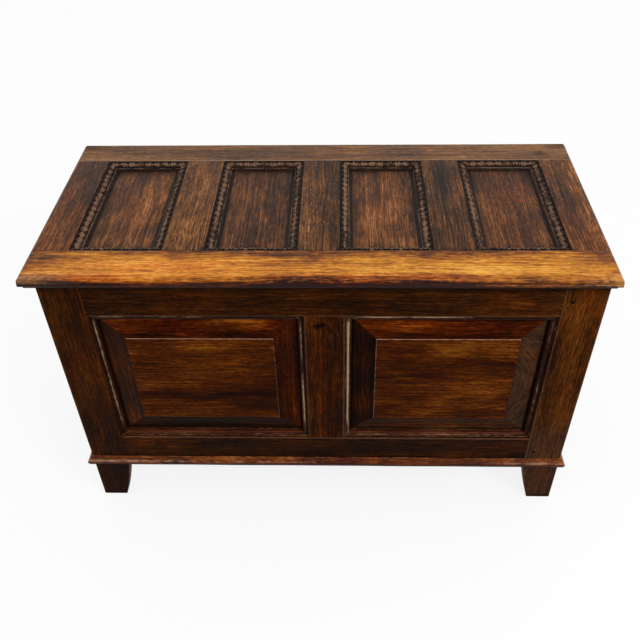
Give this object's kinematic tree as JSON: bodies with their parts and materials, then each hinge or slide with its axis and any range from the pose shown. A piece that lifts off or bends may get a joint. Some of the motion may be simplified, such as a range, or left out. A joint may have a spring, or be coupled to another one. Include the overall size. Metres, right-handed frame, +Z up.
{
  "type": "coffer chest",
  "caption": "Joined oak coffer: hinged panelled lid with carved mouldings over a frame-and-panel box with fielded panels, base moulding and tapered stile feet.",
  "frame": {"origin": "middle of the chest's plan, on the floor under the feet", "axes": "+X along the chest's width to the right as seen from the front, +Y from front to back, +Z up"},
  "size_m": [1.164, 0.53, 0.7],
  "materials": {
    "oak_lid_front": "waxed golden oak, worn pale along the middle",
    "oak_lid_frame": "waxed brown oak with open grain",
    "oak_lid_panel": "waxed brown oak with open grain",
    "oak_carved": "dark waxed oak, carved, worn on its crests",
    "oak_frame": "very dark waxed oak",
    "oak_field": "red-brown waxed oak with streaked grain",
    "oak_bead": "dark waxed oak, worn on its crests",
    "oak_base": "red-brown waxed oak",
    "oak_back": "dry brown oak",
    "oak_floor": "bare brown oak",
    "oak_peg": "dark waxed end grain",
    "hinge_iron": "blackened wrought iron"
  },
  "bodies": {
    "carcase": {"back_bottom_rail": "oak_back", "back_ledger": "oak_floor", "back_left_panel": "oak_back", "back_left_stile": "oak_frame", "back_muntin": "oak_back", "back_right_panel": "oak_back", "back_right_stile": "oak_frame", "back_top_rail": "oak_back", "base_moulding_front": "oak_base", "base_moulding_left": "oak_base", "base_moulding_right": "oak_base", "carcase_pegs": "oak_peg", "floor_board_1": "oak_floor", "floor_board_2": "oak_floor", "floor_board_3": "oak_floor", "floor_board_4": "oak_floor", "floor_board_5": "oak_floor", "front_bottom_rail": "oak_frame", "front_ledger": "oak_floor", "front_left_panel": "oak_field", "front_left_panel_moulding": "oak_bead", "front_left_stile": "oak_frame", "front_muntin": "oak_frame", "front_right_panel": "oak_field", "front_right_panel_moulding": "oak_bead", "front_right_stile": "oak_frame", "front_top_rail": "oak_frame", "hinge_carcase_nails": "hinge_iron", "hinge_left_carcase_leaf": "hinge_iron", "hinge_left_pin": "hinge_iron", "hinge_right_carcase_leaf": "hinge_iron", "hinge_right_pin": "hinge_iron", "left_bottom_rail": "oak_frame", "left_panel": "oak_field", "left_panel_moulding": "oak_bead", "left_top_rail": "oak_frame", "right_bottom_rail": "oak_frame", "right_panel": "oak_field", "right_panel_moulding": "oak_bead", "right_top_rail": "oak_frame"},
    "lid": {"hinge_left_lid_leaf": "hinge_iron", "hinge_lid_nails": "hinge_iron", "hinge_right_lid_leaf": "hinge_iron", "lid_back_rail": "oak_lid_frame", "lid_centre_muntin": "oak_lid_frame", "lid_front_rail": "oak_lid_front", "lid_left_muntin": "oak_lid_frame", "lid_left_stile": "oak_lid_frame", "lid_panel_1": "oak_lid_panel", "lid_panel_2": "oak_lid_panel", "lid_panel_3": "oak_lid_panel", "lid_panel_4": "oak_lid_panel", "lid_panel_moulding_1": "oak_carved", "lid_panel_moulding_2": "oak_carved", "lid_panel_moulding_3": "oak_carved", "lid_panel_moulding_4": "oak_carved", "lid_right_muntin": "oak_lid_frame", "lid_right_stile": "oak_lid_frame"}
  },
  "joints": [
    {"name": "lid_hinge", "type": "hinge", "parent": "carcase", "child": "lid", "pos_m": [0, 0.252, 0.67185], "axis": [-1, 0, 0], "range_deg": [0, 98]}
  ]
}
